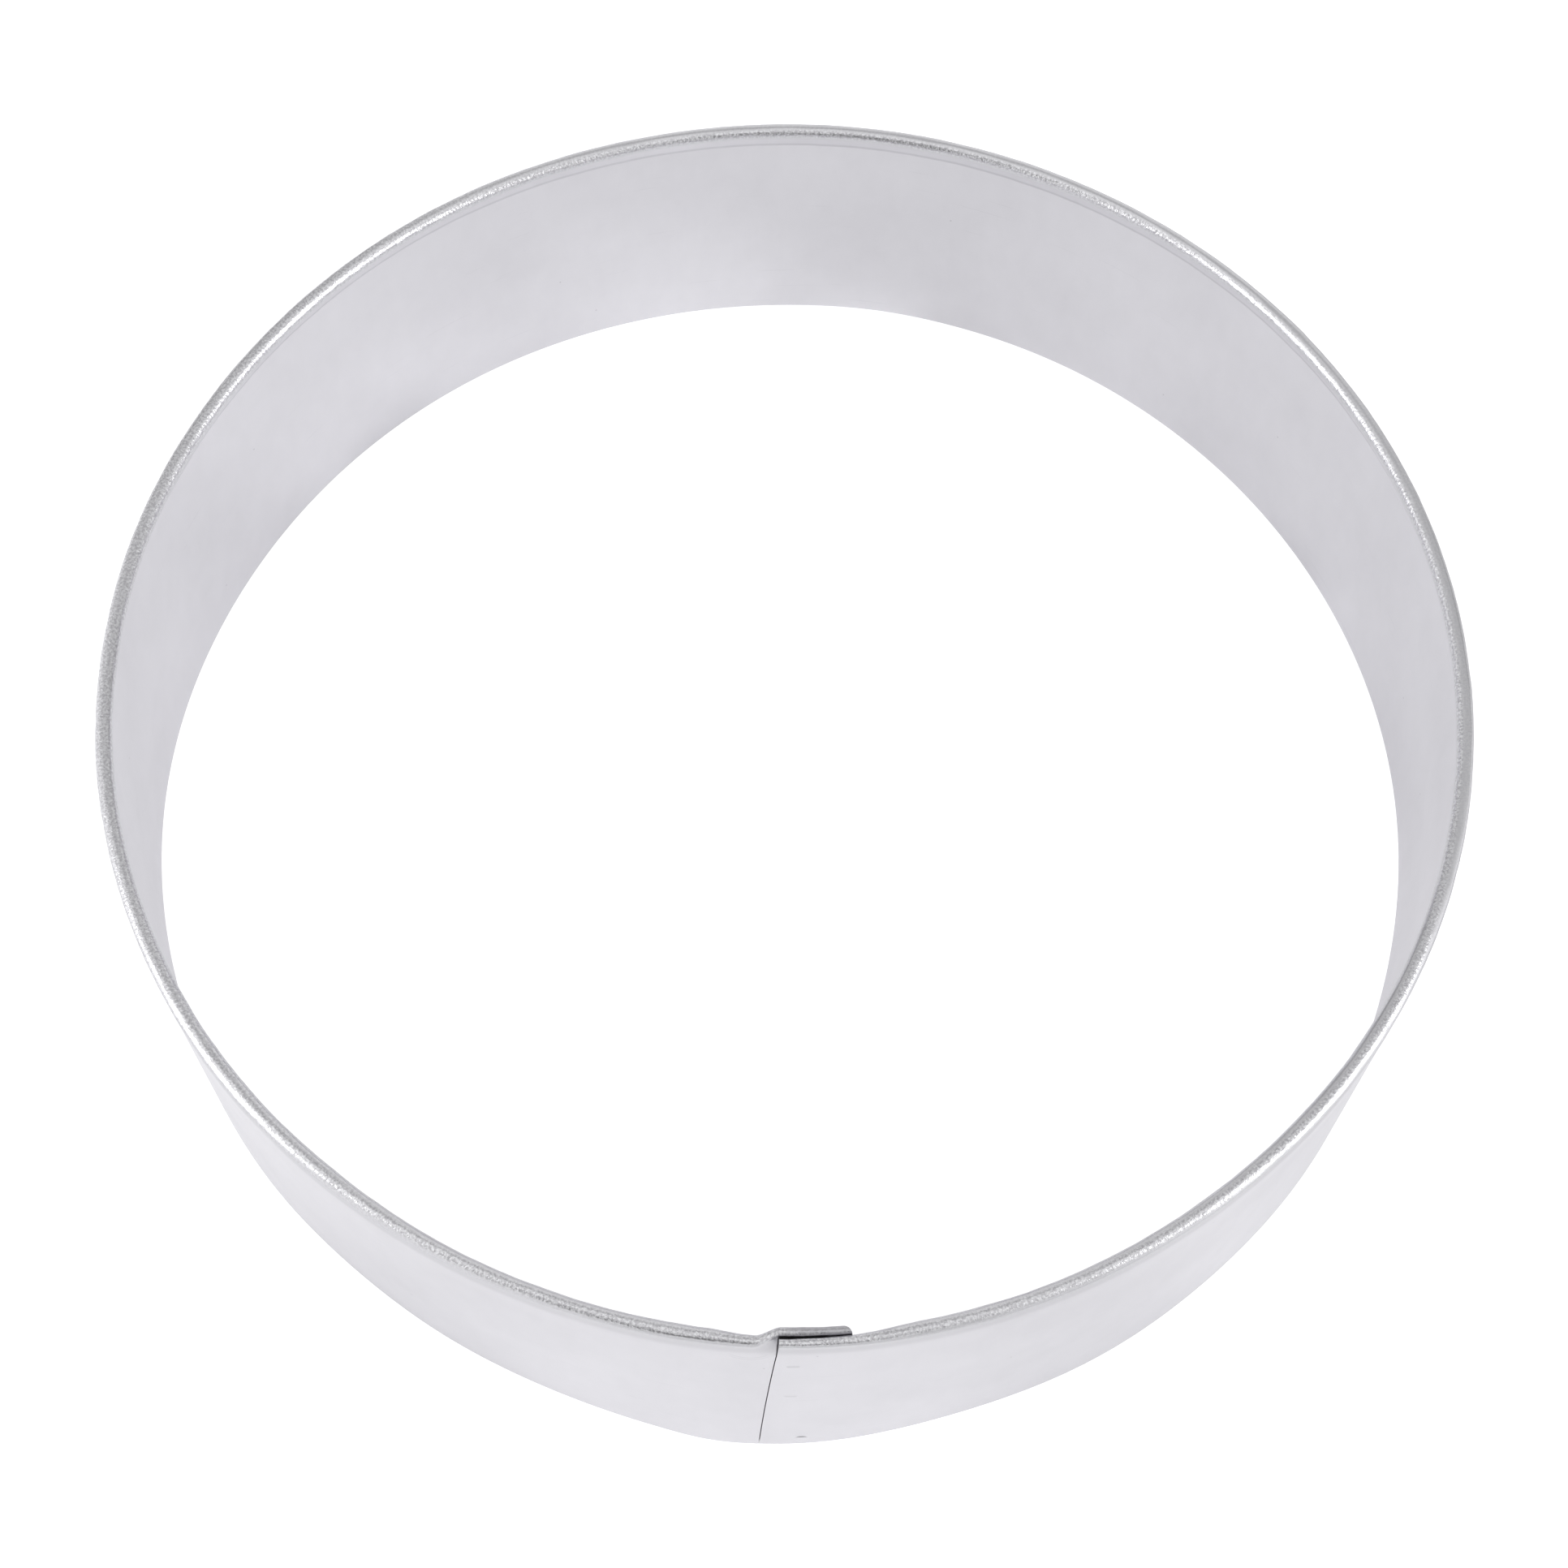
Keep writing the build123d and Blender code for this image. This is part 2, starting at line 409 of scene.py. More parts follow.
def strip_mesh(sizes, seed):
    """The whole strip as one closed skin.

    The outer face line is offset inward by the sheet, along its normal, for the inner face.
    Both lines stand on every column, the columns follow the ring, and the two cut edges and
    two strip ends are closed with plain quads. Its UV map is, in mm, the place along the strip
    and the way over the sheet from the cutting edge."""
    place = strip_places(sizes)
    radius, height = outer_face_line(place, sizes)
    step_r, step_z = np.gradient(radius, axis=0), np.gradient(height, axis=0)
    run = np.hypot(step_r, step_z)
    normal_r, normal_z = step_z / run, -step_r / run
    travel = np.zeros_like(radius)
    travel[1:] = np.cumsum(np.hypot(np.diff(radius, axis=0), np.diff(height, axis=0)), axis=0)

    hem_share = ease(travel, 22.5 * MM, 24 * MM, 0, 1)
    upward_share = 0.5
    wander = hem_wander(place, seed)
    radius = radius + normal_r * wander * hem_share
    height = height + normal_z * wander * hem_share * upward_share

    inner_radius = radius - normal_r * sizes.sheet
    inner_height = height - normal_z * sizes.sheet
    inner_travel = travel[-1:] + sizes.sheet + (travel[-1:] - travel[::-1])
    loop_radius = np.concatenate([radius, inner_radius[::-1]])
    loop_height = np.concatenate([height, inner_height[::-1]])
    loop_travel = np.concatenate([travel, inner_travel])

    along = with_ends(place, loop_radius, loop_height, sizes)
    loop_radius = loop_radius + springback(along, loop_height / HEIGHT)
    points = on_ring(loop_radius, along, loop_height)
    faces, cut = strip_faces(*radius.shape)
    strip_uv = np.stack([along, loop_travel], -1) / MM
    return points.reshape(-1, 3), faces, cut, strip_uv.reshape(-1, 2)


def weld_mesh(node_name, sizes, ridge_height, ridge_rise):
    """A spot weld as a button through both sheets, on the swollen wall.

    Each face is a disc on rings and spokes. With r, x and z as shares of the weld's radius, its
    height over the sheet is a low ring exp(-((r - 0.8) / 0.13)^2) that sinks to a flat middle
    and, at its border, just into the sheet. The outer face adds a short ridge, which is
    exp(-((z - rise) / 0.09)^2), and paints shade along it with weight exp(-((z - rise) / 0.33)^2),
    so that the ridge looks darker. Both of these fade sideways between x = 0.6 and x = 0.85."""
    rings, spokes = 24, 96
    ring_at, ring_spread, border_from = 0.8, 0.13, 0.88
    ridge_spread, shade_spread = 0.09, 0.33
    fade_from, fade_to = 0.6, 0.85
    lift, sink = 0.03 * MM, 0.02 * MM

    low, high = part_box(node_name)
    middle = (low + high) / 2
    place = RADIUS * (np.arctan2(middle.y, middle.x) - FRONT)
    weld_radius = (high.z - low.z) / 2
    ring_share = np.linspace(0, 1, rings + 1)[1:, None]
    spoke = np.linspace(0, 2 * np.pi, spokes, endpoint=False)[None, :]
    across = weld_radius * ring_share * np.cos(spoke)
    up = weld_radius * ring_share * np.sin(spoke)
    ring = sizes.weld_ring * np.exp(-(((ring_share - ring_at) / ring_spread) ** 2)) + 0 * spoke
    edge = ease(ring_share, border_from, 1, lift, 0)
    over_ridge = up / weld_radius - ridge_rise
    sideways_share = ease(np.abs(across) / weld_radius, fade_from, fade_to, 1, 0)
    ridge = ridge_height * np.exp(-((over_ridge / ridge_spread) ** 2)) * sideways_share
    # Painted shade along the ridge, darkest at its middle
    ridge_shade_weight = np.exp(-((over_ridge / shade_spread) ** 2)) * sideways_share

    def face(depth, lifts, centre_lift):
        height = np.append((middle.z + up).ravel(), middle.z)
        along = np.append((place + across).ravel(), place)
        lifts = np.append(lifts.ravel(), centre_lift)
        radius = RADIUS - sizes.proud - depth + lifts + springback(along, height / HEIGHT)
        return on_ring(radius, along, height)

    through = 2 * sizes.sheet + sizes.lap_gap
    front = face(0, ring + ridge + edge - sink, lift - sink)
    back = face(through, -(ring + edge - sink), sink - lift)
    index = np.arange(rings * spokes).reshape(rings, spokes)
    beside = np.roll(index, -1, axis=1)
    quads = np.stack([index[:-1], index[1:], beside[1:], beside[:-1]], -1).reshape(-1, 4)
    hub = np.full(spokes, rings * spokes)
    fan = np.stack([hub, index[0], beside[0]], -1)
    shift = len(front)
    rim = np.stack([index[-1], index[-1] + shift, beside[-1] + shift, beside[-1]], -1)
    triangles = [fan, fan[:, ::-1] + shift]
    for quad in (quads, quads[:, ::-1] + shift, rim):
        triangles += [quad[:, [0, 1, 2]], quad[:, [0, 2, 3]]]
    ridge_shade = np.concatenate([ridge_shade_weight.ravel(), np.zeros(1 + len(back))])
    return np.concatenate([front, back]), np.concatenate(triangles), ridge_shade


def add_piece(name, points, faces, materials, face_materials=None, uv=None, ridge_shade=None):
    """A mesh object at the origin, smooth except where two faces meet at a sharp angle."""
    mesh = bpy.data.meshes.new(name)
    mesh.vertices.add(len(points))
    mesh.vertices.foreach_set("co", np.asarray(points, dtype=np.float32).ravel())
    mesh.loops.add(faces.size)
    mesh.loops.foreach_set("vertex_index", faces.astype(np.int32).ravel())
    mesh.polygons.add(len(faces))
    sides = faces.shape[1]
    mesh.polygons.foreach_set("loop_start", np.arange(0, faces.size, sides, dtype=np.int32))
    mesh.polygons.foreach_set("loop_total", np.full(len(faces), sides, dtype=np.int32))
    for material in materials:
        mesh.materials.append(material)
    if face_materials is not None:
        mesh.polygons.foreach_set("material_index", face_materials)
    if uv is not None:
        layer = mesh.uv_layers.new(name="strip")
        layer.data.foreach_set("uv", uv[faces.ravel()].astype(np.float32).ravel())
    if ridge_shade is not None:
        layer = mesh.attributes.new("ridge_shade", "FLOAT", "POINT")
        layer.data.foreach_set("value", ridge_shade.astype(np.float32))
    mesh.update(calc_edges=True)
    mesh.shade_smooth()
    mesh.set_sharp_from_angle(angle=SHARP_ANGLE)
    mesh.validate()
    piece = bpy.data.objects.new(name, mesh)
    bpy.context.scene.collection.objects.link(piece)
    return piece


def node(tree, kind, settings=None, links=None):
    """Adds a shader node, sets its properties and input values, and links its inputs."""
    made = tree.nodes.new(kind)
    for key, value in (settings or {}).items():
        if isinstance(key, str) and hasattr(made, key) and key not in made.inputs:
            setattr(made, key, value)
        else:
            made.inputs[key].default_value = value
    for key, source in (links or {}).items():
        tree.links.new(source, made.inputs[key])
    return made


def new_material(name):
    """An empty node material with its output node."""
    material = bpy.data.materials.new(name)
    material.use_nodes = True
    tree = material.node_tree
    tree.nodes.clear()
    return material, tree, tree.nodes.new("ShaderNodeOutputMaterial")


def band(tree, place, middle, near, far, most=1.0):
    """How much a point belongs to a band of the strip: most of it up to near, none past far."""
    over = node(tree, "ShaderNodeMath", {"operation": "SUBTRACT", 1: middle}, {0: place})
    beside = node(tree, "ShaderNodeMath", {"operation": "ABSOLUTE"}, {0: over.outputs[0]})
    share = node(
        tree,
        "ShaderNodeMapRange",
        {"interpolation_type": "SMOOTHSTEP", "From Min": far, "From Max": near, "To Max": most},
        {"Value": beside.outputs[0]},
    )
    return share.outputs[0]


def with_patches(tree, level, measure, point, patches):
    """A level with smooth patches added to it.

    Each patch is its middle, the measures from a point to that middle where it ends and where
    it is full, and what it adds. The measure is a vector operation, and the patch is a smooth
    step of it."""
    start = node(tree, "ShaderNodeValue")
    start.outputs[0].default_value = level
    total = start.outputs[0]
    for middle, ends, full, change in patches:
        measured = node(tree, "ShaderNodeVectorMath", {"operation": measure, 1: middle}, {0: point})
        patch = node(
            tree,
            "ShaderNodeMapRange",
            {
                "interpolation_type": "SMOOTHSTEP",
                "From Min": ends,
                "From Max": full,
                "To Max": change,
            },
            {"Value": measured.outputs["Value"]},
        )
        added = node(tree, "ShaderNodeMath", {"operation": "ADD"}, {0: total, 1: patch.outputs[0]})
        total = added.outputs[0]
    return total


def hem_crown(tree, way_up):
    """How much a point belongs to the hem's rounded crown, which lies between 24.8 mm and
    26.8 mm along the sheet from the cutting edge."""
    rise = node(
        tree,
        "ShaderNodeMapRange",
        {"interpolation_type": "SMOOTHSTEP", "From Min": 24.4, "From Max": 25.2},
        {"Value": way_up},
    )
    fall = node(
        tree,
        "ShaderNodeMapRange",
        {"interpolation_type": "SMOOTHSTEP", "From Min": 27.3, "From Max": 26.3},
        {"Value": way_up},
    )
    crown = node(
        tree,
        "ShaderNodeMath",
        {"operation": "MULTIPLY"},
        {0: rise.outputs[0], 1: fall.outputs[0]},
    )
    return crown.outputs[0]


def crumpled_share(tree, along, way_up):
    """How much the coat is crumpled like foil by the fold.

    It is crumpled across the whole fold on the left, and a little elsewhere. It is crumpled
    most along a line, on the fold's outer side at the front and its inner side at the back."""
    at_left = band(tree, along, 235.0, 25.0, 65.0)
    at_back = band(tree, along, 135.0, 60.0, 85.0)
    whole_fold = node(
        tree,
        "ShaderNodeMapRange",
        {"To Min": 0.2, "To Max": 1.0},
        {"Value": at_left},
    )
    beside_line = node(
        tree,
        "ShaderNodeMath",
        {"operation": "MULTIPLY_ADD", 1: -0.75},
        {0: at_back, 2: way_up},
    )
    on_line = band(tree, beside_line.outputs[0], 25.6, 0.15, 0.45, 1.3)
    crumpled = node(
        tree,
        "ShaderNodeMath",
        {"operation": "MAXIMUM"},
        {0: whole_fold.outputs[0], 1: on_line},
    )
    return crumpled.outputs[0]


def sheet_relief(tree, uv, crown, crumpled):
    """The sheet's normal: furrows and creases over the fold, and a fine grain everywhere."""
    # The fold leaves shallow furrows along the hem, 0.4 mm wide and some 5 mm long
    drawn = node(
        tree,
        "ShaderNodeMapping",
        {"Scale": (0.2, 2.5, 1.0)},
        {"Vector": uv},
    )
    furrows = node(
        tree,
        "ShaderNodeTexNoise",
        {"noise_dimensions": "2D", "Scale": 1.0, "Detail": 1.0},
        {"Vector": drawn.outputs[0]},
    )
    furrow_height = node(
        tree,
        "ShaderNodeMath",
        {"operation": "MULTIPLY"},
        {0: furrows.outputs[0], 1: crown},
    )
    furrow_bump = node(
        tree,
        "ShaderNodeBump",
        {"Strength": 1.0, "Distance": 0.03 * MM},
        {"Height": furrow_height.outputs[0]},
    )

    # The grain of the crumpled coat is about 0.1 mm, drawn at 0.25 mm so that it shows
    crumple = node(
        tree,
        "ShaderNodeTexNoise",
        {"noise_dimensions": "2D", "Scale": 4.0, "Detail": 2.0, "Roughness": 0.6},
        {"Vector": uv},
    )
    creased = node(
        tree,
        "ShaderNodeMath",
        {"operation": "MULTIPLY"},
        {0: crown, 1: crumpled},
    )
    crumple_height = node(
        tree,
        "ShaderNodeMath",
        {"operation": "MULTIPLY"},
        {0: crumple.outputs[0], 1: creased.outputs[0]},
    )
    crease_bump = node(
        tree,
        "ShaderNodeBump",
        {"Strength": 1.0, "Distance": 0.028 * MM},
        {"Height": crumple_height.outputs[0], "Normal": furrow_bump.outputs[0]},
    )

    # The temper rolled sheet has a fine grain, drawn at 0.35 mm so that it shows
    grain = node(
        tree,
        "ShaderNodeTexNoise",
        {"noise_dimensions": "2D", "Scale": 2.9, "Detail": 2.0, "Roughness": 0.55},
        {"Vector": uv},
    )
    grain_bump = node(
        tree,
        "ShaderNodeBump",
        {"Strength": 0.25, "Distance": 0.004 * MM},
        {"Height": grain.outputs[0], "Normal": crease_bump.outputs[0]},
    )
    return grain_bump.outputs[0]


def clouded_tin(tree, uv, clouds, look):
    """The colour of the plain coat: cloudy, with faint mottles 2 mm long and 4 mm high that
    rolling leaves."""
    rolled = node(
        tree,
        "ShaderNodeMapping",
        {"Scale": (0.5, 0.25, 1.0)},
        {"Vector": uv},
    )
    mottles = node(
        tree,
        "ShaderNodeTexNoise",
        {"noise_dimensions": "2D", "Scale": 1.0, "Detail": 3.0, "Roughness": 0.6},
        {"Vector": rolled.outputs[0]},
    )
    shading = node(
        tree,
        "ShaderNodeMath",
        {"operation": "MULTIPLY_ADD", 1: 0.5, 2: -0.25},
        {0: mottles.outputs[0]},
    )
    shade = node(
        tree,
        "ShaderNodeMath",
        {"operation": "ADD", "use_clamp": True},
        {0: shading.outputs[0], 1: clouds},
    )
    tone = node(
        tree,
        "ShaderNodeMix",
        {"data_type": "RGBA", 6: (*look.tin, 1), 7: (*look.tin_shade, 1)},
        {0: shade.outputs[0]},
    )
    return tone.outputs[2]


def wear_share(tree, uv):
    """How much the coat is worn: pits 0.2 mm wide, about one in each 20 mm, and fine scratches
    from handling."""
    pits = node(
        tree,
        "ShaderNodeTexVoronoi",
        {"voronoi_dimensions": "2D", "Scale": 0.05},
        {"Vector": uv},
    )
    pitted = node(
        tree,
        "ShaderNodeMapRange",
        {"From Min": 0.005, "From Max": 0.002, "To Max": 0.5},
        {"Value": pits.outputs["Distance"]},
    )
    handled = node(
        tree,
        "ShaderNodeMapping",
        {"Rotation": (0, 0, np.radians(38)), "Scale": (0.12, 3.0, 1.0)},
        {"Vector": uv},
    )
    scratches = node(
        tree,
        "ShaderNodeTexNoise",
        {"noise_dimensions": "2D", "Scale": 1.0, "Detail": 1.0},
        {"Vector": handled.outputs[0]},
    )
    scratched = node(
        tree,
        "ShaderNodeMapRange",
        {"From Min": 0.76, "From Max": 0.82, "To Max": 0.06},
        {"Value": scratches.outputs[0]},
    )
    worn = node(
        tree,
        "ShaderNodeMath",
        {"operation": "MAXIMUM"},
        {0: pitted.outputs[0], 1: scratched.outputs[0]},
    )
    return worn.outputs[0]


def crease_shade_share(tree, along, way_up):
    """Two short bowed lines of painted shade, which stand for the shade in two shallow creases that
    pinching the hem beside the joggle pressed into the wall.

    They are parabolas 0.44 mm apart: the way up the sheet is 22.1 mm, or 0.44 mm more, plus
    0.45 times the square of the way along from their middle."""
    half_spacing = 0.22
    middle = ROUND / MM - 1.7
    beside = node(
        tree,
        "ShaderNodeMath",
        {"operation": "SUBTRACT", 1: middle},
        {0: along},
    )
    squared = node(
        tree,
        "ShaderNodeMath",
        {"operation": "MULTIPLY"},
        {0: beside.outputs[0], 1: beside.outputs[0]},
    )
    over_bow = node(
        tree,
        "ShaderNodeMath",
        {"operation": "MULTIPLY_ADD", 1: -0.45},
        {0: squared.outputs[0], 2: way_up},
    )
    above = node(
        tree,
        "ShaderNodeMath",
        {"operation": "SUBTRACT", 1: 22.1},
        {0: over_bow.outputs[0]},
    )
    spaced = node(
        tree,
        "ShaderNodeMath",
        {"operation": "PINGPONG", 1: half_spacing},
        {0: above.outputs[0]},
    )
    line = node(
        tree,
        "ShaderNodeMapRange",
        {"interpolation_type": "SMOOTHSTEP", "From Min": 0.13, "From Max": 0.0, "To Max": 0.2},
        {"Value": spaced.outputs[0]},
    )
    two = node(
        tree,
        "ShaderNodeMath",
        {"operation": "COMPARE", 1: half_spacing, 2: 0.4},
        {0: above.outputs[0]},
    )
    short = node(
        tree,
        "ShaderNodeMapRange",
        {"interpolation_type": "SMOOTHSTEP", "From Min": 2.6, "From Max": 0.6},
        {"Value": squared.outputs[0]},
    )
    here = node(
        tree,
        "ShaderNodeMath",
        {"operation": "MULTIPLY"},
        {0: two.outputs[0], 1: short.outputs[0]},
    )
    # Painted shade along the two creases
    crease_shade = node(
        tree,
        "ShaderNodeMath",
        {"operation": "MULTIPLY"},
        {0: line.outputs[0], 1: here.outputs[0]},
    )
    return crease_shade.outputs[0]


def wear_and_shade_share(tree, uv, along, way_up):
    """How much a point of the coat is darkened: worn, and painted with shade in two creases and
    under the fold.

    It has painted shade in a band where the fold starts, 24.4 mm up the sheet, fainter shade on the
    leg that comes down from it, and the darkest shade along the leg's free edge. Each shade band is
    its middle, the distances from it where it is full and where it ends, and its strength."""
    # Painted shade: a band just under the rim, a faint one on the leg, and the darkest along the
    # leg's free edge
    painted_shade_bands = (
        (24.4, 0.2, 1.2, 0.24),
        (27.7, 0.7, 1.1, 0.08),
        (28.35, 0.1, 0.5, 0.36),
    )
    flaws_and_shades = [wear_share(tree, uv), crease_shade_share(tree, along, way_up)]
    flaws_and_shades += [band(tree, way_up, *painted_shade_band) for painted_shade_band in painted_shade_bands]
    most = flaws_and_shades[0]
    for flaw_and_shade in flaws_and_shades[1:]:
        most = node(tree, "ShaderNodeMath", {"operation": "MAXIMUM"}, {0: most, 1: flaw_and_shade}).outputs[0]
    return most


def fold_coat(tree, uv, along, crumpled, look):
    """The colour of the coat over the fold: crazed where it is crumpled, which makes it speckled,
    and darkened with painted shade where the inner hem is tucked inside the outer one at the lap."""
    crazing = node(
        tree,
        "ShaderNodeTexNoise",
        {
            "noise_dimensions": "2D",
            "Scale": 5.0,
            "Detail": 1.0,
            "Roughness": 0.6,
            "Distortion": 0.4,
        },
        {"Vector": uv},
    )
    crazed = node(
        tree,
        "ShaderNodeMapRange",
        {"From Min": 0.35, "From Max": 0.65, "To Min": 0.0, "To Max": 1.0},
        {"Value": crazing.outputs[0]},
    )
    speckled = node(
        tree,
        "ShaderNodeMix",
        {"data_type": "FLOAT", 2: 0.5},
        {0: crumpled, 3: crazed.outputs[0]},
    )
    folded = node(
        tree,
        "ShaderNodeMix",
        {"data_type": "RGBA", 6: (*look.burnished, 1), 7: (*look.crazed, 1)},
        {0: speckled.outputs[0]},
    )
    # Painted shade, up to 0.8 of the way, over the inner hem tucked inside the lap
    inside = node(
        tree,
        "ShaderNodeMapRange",
        {
            "interpolation_type": "SMOOTHSTEP",
            "From Min": ROUND / MM - 0.4,
            "From Max": ROUND / MM + 2.0,
            "To Max": 0.8,
        },
        {"Value": along},
    )
    tucked_hem_shade = node(
        tree,
        "ShaderNodeMix",
        {"data_type": "RGBA", 7: (*look.tucked_hem_shade, 1)},
        {0: inside.outputs[0], 6: folded.outputs[2]},
    )
    return tucked_hem_shade.outputs[2]


def tinplate_material(look):
    """Electrolytic tinplate with a matte reflowed tin coat on cold rolled steel.

    The coat is satin, so it mirrors the room softly and looks a cool, faintly violet grey. The
    fold has crumpled the coat into small creases across the hem, which sparkle."""
    material, tree, output = new_material("electrolytic_tinplate")
    uv = node(tree, "ShaderNodeUVMap", {"uv_map": "strip"}).outputs["UV"]
    place = node(tree, "ShaderNodeSeparateXYZ", links={0: uv})
    along, way_up = place.outputs["X"], place.outputs["Y"]
    crown = hem_crown(tree, way_up)
    crumpled = crumpled_share(tree, along, way_up)
    relief = sheet_relief(tree, uv, crown, crumpled)

    # Cloudy differences in the coat, some 12 mm across
    clouds = node(
        tree,
        "ShaderNodeTexNoise",
        {"noise_dimensions": "2D", "Scale": 0.08, "Detail": 3.0, "Roughness": 0.5},
        {"Vector": uv},
    )
    # Pits and scratches, and painted shade under the rim, along the hem's free edge and in two
    # creases, darken the coat towards one colour
    marked = node(
        tree,
        "ShaderNodeMix",
        {"data_type": "RGBA", 7: (*look.flaw_and_shade, 1)},
        {
            0: wear_and_shade_share(tree, uv, along, way_up),
            6: clouded_tin(tree, uv, clouds.outputs[0], look),
        },
    )
    coat = node(
        tree,
        "ShaderNodeMix",
        {"data_type": "RGBA"},
        {0: crown, 6: marked.outputs[2], 7: fold_coat(tree, uv, along, crumpled, look)},
    )

    # Folding has burnished the crown smoother than the rest
    rough = node(
        tree,
        "ShaderNodeMapRange",
        {"To Min": 0.44, "To Max": 0.48},
        {"Value": clouds.outputs[0]},
    )
    burnished = node(
        tree,
        "ShaderNodeMapRange",
        {"To Min": 1.0, "To Max": 0.55},
        {"Value": crown},
    )
    gloss = node(
        tree,
        "ShaderNodeMath",
        {"operation": "MULTIPLY"},
        {0: rough.outputs[0], 1: burnished.outputs[0]},
    )
    shader = node(
        tree,
        "ShaderNodeBsdfPrincipled",
        {"Metallic": 1.0},
        {"Base Color": coat.outputs[2], "Roughness": gloss.outputs[0], "Normal": relief},
    )
    tree.links.new(shader.outputs[0], output.inputs[0])
    return material


def sheared_material(look):
    """Bare steel where shears cut the sheet: darker than the coat, with fine upright drag lines."""
    material, tree, output = new_material("sheared_steel_edge")
    uv = node(tree, "ShaderNodeUVMap", {"uv_map": "strip"})
    drag = node(
        tree,
        "ShaderNodeTexNoise",
        {"noise_dimensions": "2D", "Scale": 6.0, "Detail": 2.0},
        {"Vector": uv.outputs["UV"]},
    )
    rough = node(
        tree,
        "ShaderNodeMapRange",
        {"To Min": 0.35, "To Max": 0.55},
        {"Value": drag.outputs[0]},
    )
    shader = node(
        tree,
        "ShaderNodeBsdfPrincipled",
        {"Metallic": 1.0, "Base Color": (*look.sheared, 1)},
        {"Roughness": rough.outputs[0]},
    )
    tree.links.new(shader.outputs[0], output.inputs[0])
    return material


def weld_material(look):
    """A resistance spot weld: the electrode flattened the tin and left it a little dull, with a
    short dark streak of painted shade along the ridge."""
    material, tree, output = new_material("resistance_spot_weld")
    coordinates = node(tree, "ShaderNodeTexCoord")

    # Fine spatter, 0.25 mm across
    spatter = node(
        tree,
        "ShaderNodeTexNoise",
        {"Scale": 4000.0, "Detail": 2.0},
        {"Vector": coordinates.outputs["Object"]},
    )
    rough = node(
        tree,
        "ShaderNodeMapRange",
        {"To Min": 0.4, "To Max": 0.5},
        {"Value": spatter.outputs[0]},
    )
    bump = node(
        tree,
        "ShaderNodeBump",
        {"Strength": 0.3, "Distance": 0.006 * MM},
        {"Height": spatter.outputs[0]},
    )
    # The painted shade along the ridge, as a weight at each point
    streak = node(tree, "ShaderNodeAttribute", {"attribute_name": "ridge_shade"})
    mark = node(
        tree,
        "ShaderNodeMix",
        {"data_type": "RGBA", 6: (*look.weld_mark, 1), 7: (*look.ridge_shade, 1)},
        {0: streak.outputs["Fac"]},
    )
    shader = node(
        tree,
        "ShaderNodeBsdfPrincipled",
        {"Metallic": 1.0},
        {
            "Base Color": mark.outputs[2],
            "Roughness": rough.outputs[0],
            "Normal": bump.outputs[0],
        },
    )
    tree.links.new(shader.outputs[0], output.inputs[0])
    return material


def floor_material(look):
    """A matt white paper sweep, lit up to white for the camera and for what mirrors it.

    What mirrors it sees a glow with painted light and shade: it falls off away from the lamps,
    is darker inside the ring and in wide patches round it, and has small lighter and darker
    patches round the foot of the wall, painted pools of the light that the wall throws back onto
    the paper and of its shade. Each patch is a smooth step of the distance from a place on it,
    given as x, y, the distances in mm where the patch is full and where it ends, and what it adds
    to the glow."""
    # Painted light and shade in the glow that the metal mirrors
    patches = (
        (135, 110, 60, 115, -0.35),
        (40, -170, 50, 140, -0.25),
        (-140, 0, 50, 100, 0.08),
        (-140, 125, 35, 80, -0.35),
        (0, 0, 50, 51.5, -0.08),
        (-8, 49, 2, 16, 0.2),
        (7, 52, 1, 9, 0.2),
        (-20, 43, 2, 12, 0.08),
        (24, 42, 2, 15, 0.06),
        (-29, 31, 3, 15, 0.15),
        (-36, 37, 1, 9, -0.14),
        (-43, 25, 1, 10, -0.05),
        (45, 26, 1, 7, -0.1),
        (49, 6, 2, 13, -0.06),
        (50, -32, 3, 16, -0.1),
        (62, 54, 12, 32, -0.22),
        (78, 16, 8, 26, -0.15),
        (84, -8, 10, 28, -0.2),
        (-33, -41, 3, 20, -0.06),
        (-26, -46, 3, 16, -0.05),
        (26, -47, 4, 16, -0.08),
    )
    camera_glow, mirrored_glow = 0.72, 0.43
    material, tree, output = new_material("white_paper_sweep")
    rays = node(tree, "ShaderNodeLightPath")
    coordinates = node(tree, "ShaderNodeTexCoord")
    patched = with_patches(
        tree,
        mirrored_glow,
        "DISTANCE",
        coordinates.outputs["Object"],
        [((x * MM, y * MM, 0), far * MM, near * MM, add) for x, y, near, far, add in patches],
    )
    mirrored = node(
        tree,
        "ShaderNodeMath",
        {"operation": "MULTIPLY"},
        {0: rays.outputs["Is Glossy Ray"], 1: patched},
    )
    seen = node(
        tree,
        "ShaderNodeMath",
        {"operation": "MULTIPLY_ADD", 1: camera_glow},
        {0: rays.outputs["Is Camera Ray"], 2: mirrored.outputs[0]},
    )
    paper = node(tree, "ShaderNodeBsdfDiffuse", {"Color": (*look.floor, 1)})
    glow = node(
        tree,
        "ShaderNodeEmission",
        {"Color": (1, 1, 1, 1)},
        {"Strength": seen.outputs[0]},
    )
    both = node(tree, "ShaderNodeAddShader", links={0: paper.outputs[0], 1: glow.outputs[0]})
    tree.links.new(both.outputs[0], output.inputs[0])
    return material


